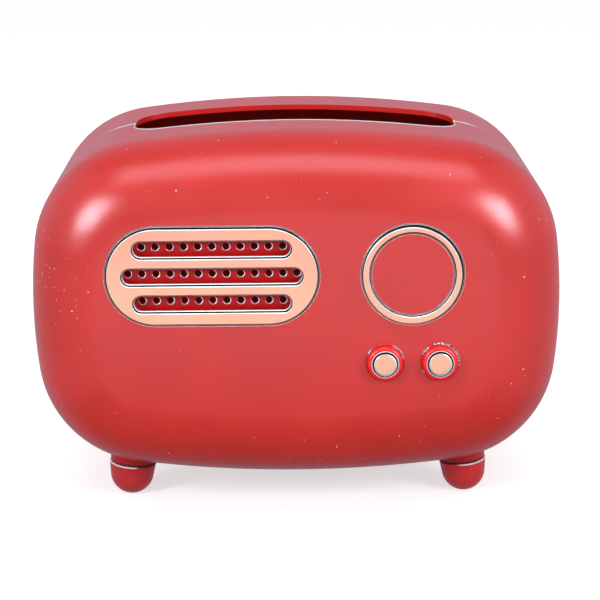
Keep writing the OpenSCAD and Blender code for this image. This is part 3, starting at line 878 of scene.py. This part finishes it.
class DressMouldings(bpy.types.Operator):
    """Gives the shells, feet, knobs, washers and screws their finishes"""

    bl_idname = "radio_box.dress_mouldings"
    bl_label = "Dress the mouldings"

    def execute(self, context):
        dress("case red", *SHELLS)
        self.dull_channels(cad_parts["front_shell"].data)
        dress("foot red", *FEET)
        dress("knob red", *KNOBS)
        dress("zinc steel", *KNOB_FIXINGS, *FOOT_SCREWS)
        return {"FINISHED"}

    def dull_channels(self, mesh):
        """Gives the faces of the recess behind the grille plate their duller finish."""
        mesh.materials.append(finish_of("channel red"))
        for face in mesh.polygons:
            across, deep, upward = face.center
            level = abs(across - PLATE_MIDDLE.x) < PLATE_HALF.x and abs(upward - PLATE_MIDDLE.z) < PLATE_HALF.z
            if level and RECESS_FRONT < deep < RECESS_BACK:
                face.material_index = 1


class MakeGrillePlate(bpy.types.Operator):
    """Makes the grille plate with its slots, cut facets and pegs"""

    bl_idname = "radio_box.make_grille_plate"
    bl_label = "Make the grille plate"

    def execute(self, context):
        look = context.scene.trim_look
        grille = context.scene.grille_sizes
        face_y = FRONT_Y - grille.proud
        back_y = face_y + grille.thickness
        middle = PLATE_MIDDLE
        bm = bmesh.new()

        def add_edge(half_length, radius, z, steps, side):
            """Loops from the back to the face; side is -1 round the outside and 1 round a slot."""
            loops = [add_loop(bm, bar_loop(half_length, radius, middle.x, z), back_y)]
            # the inner loops drop by the lean, which widens the painted shadow facet along edges that face up
            # and narrows it along those that face down
            for (inset, y), fall in zip(steps, (0, 0, look.lean, look.lean)):
                grow = side * inset
                points = bar_loop(half_length + grow, radius + grow, middle.x, z - fall)
                loops.append(add_loop(bm, points, y))
            for index, first, second in zip(EDGE_SPANS, loops, loops[1:]):
                bridge(bm, *((second, first) if side < 0 else (first, second)), index)
            return loops

        edges = [add_edge(PLATE_HALF.x, PLATE_HALF.z, middle.z, facet_steps(look, 1.3, face_y), -1)]
        slot_steps = facet_steps(look, 1, face_y)
        for row, slot_length in ((1, grille.short_slot), (0, grille.long_slot), (-1, grille.short_slot)):
            z = middle.z + row * grille.slot_pitch
            edges.append(add_edge(slot_length / 2, grille.slot_height / 2, z, slot_steps, 1))
        for loops in edges:
            for loop in loops:
                crease(loop)
        fill_between(bm, [loops[-1] for loops in edges])
        fill_between(bm, [loops[0] for loops in edges])
        corners = ((-1, -1), (-1, 1), (1, -1), (1, 1))
        peg_places = [(middle.x + x * grille.peg_x, middle.z + z * grille.peg_z) for x, z in corners]
        add_pegs(bm, peg_places, grille.peg_diameter, back_y, back_y + grille.peg_length)
        new_piece("grille_face", bm, TRIM_FINISHES, "front_case", ("grille_plate",))
        return {"FINISHED"}


class MakeDialRing(bpy.types.Operator):
    """Makes the dial ring with its cut facets and pegs"""

    bl_idname = "radio_box.make_dial_ring"
    bl_label = "Make the dial ring"

    def execute(self, context):
        look = context.scene.trim_look
        sizes = context.scene.round_sizes
        grille = context.scene.grille_sizes
        face_y = FRONT_Y - grille.proud
        back_y = face_y + grille.thickness
        # the outside loops move left and down by the lean, so the painted shadow is wider at the top
        outside = [
            (sizes.ring_outer - inset, y, -fall * 0.6, -fall * 1.8)
            for (inset, y), fall in zip(facet_steps(look, 1.4, face_y), (0, 0, look.lean, look.lean))
        ]
        inside = [(sizes.ring_inner + inset, y) for inset, y in facet_steps(look, 1, face_y)]
        outer_back = (sizes.ring_outer, back_y)
        profile = (outer_back, *outside, *reversed(inside), (sizes.ring_inner, back_y), outer_back)
        middle = RING_MIDDLE
        bm = bmesh.new()
        lathe(bm, profile, middle, (*EDGE_SPANS, *EDGE_SPANS, 0, 0))
        weld(bm)
        radius = (sizes.ring_outer + sizes.ring_inner) / 2
        peg_places = []
        for number in range(sizes.ring_pegs):
            turn = math.radians(90 + 360 * number / sizes.ring_pegs)
            peg_places.append((middle.x + radius * math.cos(turn), middle.z + radius * math.sin(turn)))
        add_pegs(bm, peg_places, sizes.ring_peg_diameter, back_y, back_y + sizes.ring_peg_length)
        new_piece("dial_ring_face", bm, TRIM_FINISHES, "front_case", ("dial_ring",))
        return {"FINISHED"}


class MakeKnobCaps(bpy.types.Operator):
    """Makes the two knob caps, their bright rings and the collar at each knob's foot"""

    bl_idname = "radio_box.make_knob_caps"
    bl_label = "Make the knob caps"

    def execute(self, context):
        sizes = context.scene.round_sizes
        # the cap's sides move down and right, so the painted shadow round it is thicker at the top and left
        shift = (sizes.cap_lean * 0.2, -sizes.cap_lean)
        for knob, cap, body in zip(KNOBS, CAPS, ("left_knob", "right_knob")):
            low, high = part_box(cap)
            middle = (low + high) / 2
            self.make_face(sizes, cap, body, middle, low.y, high.y, shift)
            self.make_bezel(sizes, cap, body, middle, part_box(knob)[0].y, shift)
            self.make_collar(sizes, cap, body, middle)
        return {"FINISHED"}

    def make_face(self, sizes, cap, body, middle, face_y, back_y, shift):
        """A slightly hollow face with its bevel and side in silver, a painted highlight."""
        profile = (
            (0, face_y + 0.00005),
            (sizes.cap_face * 0.55, face_y + 0.00002),
            (sizes.cap_face, face_y + 0.00006),
            (sizes.cap_face + 0.00018, face_y + 0.00014),
            (sizes.cap_radius, face_y + sizes.cap_edge, *shift),
            (sizes.cap_radius, back_y, *shift),
            (0, back_y),
        )
        bm = bmesh.new()
        lathe(bm, profile, middle, (0, 0, 1, 1, 1, 0))
        new_piece(cap + "_face", bm, ("rose gold", "silver highlight"), body, (cap,))

    def make_bezel(self, sizes, cap, body, middle, knob_front, shift):
        """A silver line round the knob's recess, a painted highlight, and a painted shadow in the gap between
        that and the cap.
        """
        bore = sizes.knob_bore
        lining = sizes.cap_radius + 0.00003
        start = (bore + sizes.bezel_width, knob_front + 0.00006)
        profile = (
            start,
            (bore + sizes.bezel_width * 0.7, knob_front - 0.00006),
            (bore + 0.00003, knob_front - 0.00006),
            (bore - HAIR, knob_front + HAIR),
            (lining, knob_front + 0.00025, *shift),
            (lining, knob_front + 0.001, *shift),
            start,
        )
        bm = bmesh.new()
        lathe(bm, profile, middle, (0, 0, 1, 1, 1, 1))
        weld(bm)
        new_piece(cap + "_bezel", bm, ("silver highlight", "shadow facet"), body)

    def make_collar(self, sizes, cap, body, middle):
        """A thin ring on the case round the foot of the knob, with painted highlights in places."""
        inner = sizes.knob_radius + HAIR
        outer = sizes.knob_radius + sizes.collar_width
        start = (inner, FRONT_Y + 0.0001)
        profile = (
            start,
            (inner, FRONT_Y - sizes.collar_height),
            (inner + 0.00016, FRONT_Y - sizes.collar_height),
            (outer, FRONT_Y - sizes.collar_height * 0.5),
            (outer, FRONT_Y + 0.0001),
            start,
        )
        bm = bmesh.new()
        lathe(bm, profile, middle, (0, 0, 0, 0, 0))
        weld(bm)
        for face in bm.faces:
            spot = face.calc_center_median() - middle
            turn = math.degrees(math.atan2(spot.z, spot.x))
            if any(low < turn < high for low, high in BRIGHT_ARCS[body]):
                face.material_index = 1
        finishes = ("collar red", "collar highlight")
        new_piece(cap.replace("cap", "collar"), bm, finishes, "front_case")


class MakeHoleRims(bpy.types.Operator):
    """Makes the silver rims at the mouths of the sound holes, a painted highlight"""

    bl_idname = "radio_box.make_hole_rims"
    bl_label = "Make the hole rims"

    def build_tree(self, values, material):
        """Rows of painted highlight rims, each a thin tube that is thicker at its lower right."""
        tree = bpy.data.node_groups.new("rows of hole rims", "GeometryNodeTree")
        tree.interface.new_socket(name="Geometry", in_out="OUTPUT", socket_type="NodeSocketGeometry")
        for label, value in values.items():
            kind = "NodeSocketInt" if isinstance(value, int) else "NodeSocketFloat"
            tree.interface.new_socket(name=label, in_out="INPUT", socket_type=kind)
        n = Nodes(tree)
        given = n.add("NodeGroupInput").outputs
        rows = n.add("GeometryNodeJoinGeometry")
        step = n.add("ShaderNodeCombineXYZ", {"X": given["Pitch"]}).outputs[0]
        for row, label in ((1, "Short row"), (0, "Long row"), (-1, "Short row")):
            half_row = n.times(n.times(n.minus(given[label], 1.0), 0.5), given["Pitch"])
            first_hole = {
                "X": n.minus(given["Middle X"], half_row),
                "Y": given["Floor Y"],
                "Z": n.plus(given["Middle Z"], n.times(given["Row pitch"], float(row))),
            }
            start = n.add("ShaderNodeCombineXYZ", first_hole).outputs[0]
            line = {"Count": given[label], "Start Location": start, "Offset": step}
            n.feed(rows.inputs[0], n.add("GeometryNodeMeshLine", line).outputs["Mesh"])
        ring = {"Resolution": 28, "Radius": n.plus(given["Hole radius"], 3 * HAIR)}
        circle = n.add("GeometryNodeCurvePrimitiveCircle", ring).outputs[0]
        x, y, _ = n.axes(n.add("GeometryNodeInputPosition").outputs[0])
        lean = n.over(n.minus(x, y), given["Hole radius"])
        ends = {"Value": lean, "From Min": -1.2, "From Max": 1.3, "To Min": 0.1, "To Max": 1.6}
        swell = n.add("ShaderNodeMapRange", ends).outputs[0]
        section = {"Resolution": 8, "Radius": given["Rim thickness"]}
        tube = {
            "Curve": n.add("GeometryNodeSetCurveRadius", {"Curve": circle, "Radius": swell}).outputs[0],
            "Profile Curve": n.add("GeometryNodeCurvePrimitiveCircle", section).outputs[0],
            "Scale": n.add("GeometryNodeInputRadius").outputs[0],
        }
        made = n.add("GeometryNodeCurveToMesh", tube).outputs[0]
        made = n.add("GeometryNodeSetShadeSmooth", {"Geometry": made}).outputs[0]
        upright = {"Geometry": made, "Rotation": (math.pi / 2, 0, 0)}
        made = n.add("GeometryNodeTransform", upright).outputs[0]
        made = n.add("GeometryNodeInstanceOnPoints", {"Points": rows.outputs[0], "Instance": made}).outputs[0]
        made = n.add("GeometryNodeRealizeInstances", {0: made}).outputs[0]
        made = n.add("GeometryNodeSetMaterial", {"Geometry": made, "Material": material}).outputs[0]
        n.add("NodeGroupOutput", {0: made})
        return tree

    def execute(self, context):
        grille = context.scene.grille_sizes
        values = {
            "Pitch": grille.hole_pitch,
            "Row pitch": grille.slot_pitch,
            "Hole radius": grille.hole_diameter / 2,
            "Rim thickness": grille.rim_thickness,
            "Middle X": PLATE_MIDDLE.x,
            "Floor Y": FRONT_Y + grille.channel_depth,
            "Middle Z": PLATE_MIDDLE.z,
            "Short row": grille.short_holes,
            "Long row": grille.long_holes,
        }
        tree = self.build_tree(values, finish_of("silver highlight"))
        holder = bpy.data.objects.new("rim_maker", bpy.data.meshes.new("rim_maker"))
        context.collection.objects.link(holder)
        maker = holder.modifiers.new("rows", "NODES")
        maker.node_group = tree
        for item in tree.interface.items_tree:
            if item.item_type == "SOCKET" and item.in_out == "INPUT":
                maker[item.identifier] = values[item.name]
        context.view_layer.update()
        graph = context.evaluated_depsgraph_get()
        mesh = bpy.data.meshes.new_from_object(holder.evaluated_get(graph), depsgraph=graph)
        bpy.data.objects.remove(holder)
        if not mesh.polygons:
            raise RuntimeError("the hole rims came out empty")
        bm = bmesh.new()
        bm.from_mesh(mesh)
        weld(bm)
        new_piece("hole_rims", bm, ("silver highlight",), "front_case")
        return {"FINISHED"}


STEPS = (MakeStage, MakeFinishes, DressMouldings, MakeGrillePlate, MakeDialRing, MakeKnobCaps, MakeHoleRims)


class RadioBoxPanel(bpy.types.Panel):
    """Lists the steps that build the box's looks"""

    bl_idname = "VIEW3D_PT_radio_box"
    bl_label = "Radio box"
    bl_space_type = "VIEW_3D"
    bl_region_type = "UI"
    bl_category = "Radio box"

    def draw(self, context):
        for step in STEPS:
            self.layout.operator(step.bl_idname)
        for group, holder in GROUPS.items():
            self.layout.label(text=group.__doc__)
            for name in group.__annotations__:
                self.layout.prop(getattr(context.scene, holder), name)


CLASSES = (*GROUPS, *STEPS, RadioBoxPanel)


def register():
    for item in CLASSES:
        bpy.utils.register_class(item)
    for group, name in GROUPS.items():
        setattr(bpy.types.Scene, name, PointerProperty(type=group))


def unregister():
    for name in GROUPS.values():
        delattr(bpy.types.Scene, name)
    for item in reversed(CLASSES):
        bpy.utils.unregister_class(item)


def main():
    register()
    bpy.ops.radio_box.make_stage()
    bpy.ops.radio_box.make_finishes()
    bpy.ops.radio_box.dress_mouldings()
    bpy.ops.radio_box.make_grille_plate()
    bpy.ops.radio_box.make_dial_ring()
    bpy.ops.radio_box.make_knob_caps()
    bpy.ops.radio_box.make_hole_rims()


if __name__ == "__main__":
    main()
